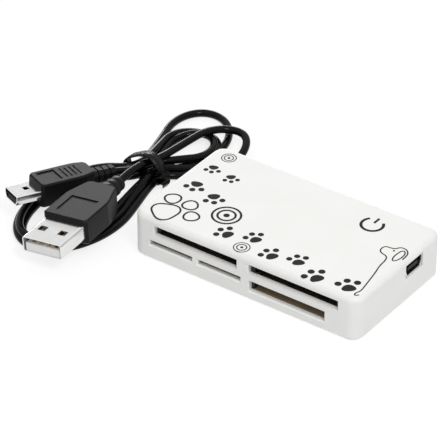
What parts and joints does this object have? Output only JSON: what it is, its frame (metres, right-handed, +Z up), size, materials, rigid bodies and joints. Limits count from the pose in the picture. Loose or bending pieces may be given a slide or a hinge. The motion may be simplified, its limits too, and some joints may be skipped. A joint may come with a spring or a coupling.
{
  "type": "usb memory card reader",
  "caption": "Flat white card reader with rows of card slots in its front edge and a socket in one end, beside its unplugged lead tied in a hank.",
  "frame": {"origin": "centre of the reader's bottom face, on the surface that it and its lead lie on", "axes": "+Z up; +X along the reader's long side towards the end with the socket; the card slots face -Y"},
  "size_m": [0.1089, 0.0872, 0.013],
  "materials": {
    "case_white": "satin moulded",
    "board_green": "lacquered laminate",
    "port_steel": "tin plated",
    "port_black": "moulded",
    "contact_gold": "gold plated",
    "guide_clear": "clear moulded",
    "lamp_white": "clear resin",
    "chip_black": "moulded",
    "lead_tin": "tin plated",
    "crystal_steel": "drawn can",
    "capacitor_tan": "ceramic",
    "socket_black": "moulded",
    "socket_steel": "folded sheet",
    "plug_nickel": "bright nickel",
    "block_grey": "moulded",
    "grip_black": "fine matt",
    "lead_black": "smooth glossy",
    "tie_black": "glossy film",
    "print_charcoal": "printed ink"
  },
  "bodies": {
    "root": {"bottom_cover": "case_white", "top_cover": "case_white", "circuit_board": "board_green", "port_shell": "port_steel", "port_tongue": "port_black", "port_contacts": "contact_gold", "power_light_guide": "guide_clear", "status_led": "lamp_white", "controller_chip": "chip_black", "controller_leads": "lead_tin", "crystal_can": "crystal_steel", "chip_capacitors": "capacitor_tan", "chip_resistors": "chip_black", "large_plug_shell": "plug_nickel", "large_plug_block": "block_grey", "large_plug_contacts": "contact_gold", "large_plug_grip": "grip_black", "small_plug_shell": "plug_nickel", "small_plug_block": "port_black", "small_plug_contacts": "contact_gold", "small_plug_grip": "grip_black", "lead_hank": "lead_black", "large_plug_tail": "lead_black", "small_plug_tail": "lead_black", "twist_tie": "tie_black", "standard_card_socket": "socket_black", "standard_card_cover": "socket_steel", "standard_card_contacts": "contact_gold", "thin_card_socket": "socket_black", "thin_card_cover": "socket_steel", "thin_card_contacts": "contact_gold", "micro_card_socket": "socket_black", "micro_card_cover": "socket_steel", "micro_card_contacts": "contact_gold", "mini_card_socket": "socket_black", "mini_card_cover": "socket_steel", "mini_card_contacts": "contact_gold", "stick_card_socket": "socket_black", "stick_card_cover": "socket_steel", "stick_card_contacts": "contact_gold"}
  },
  "joints": []
}
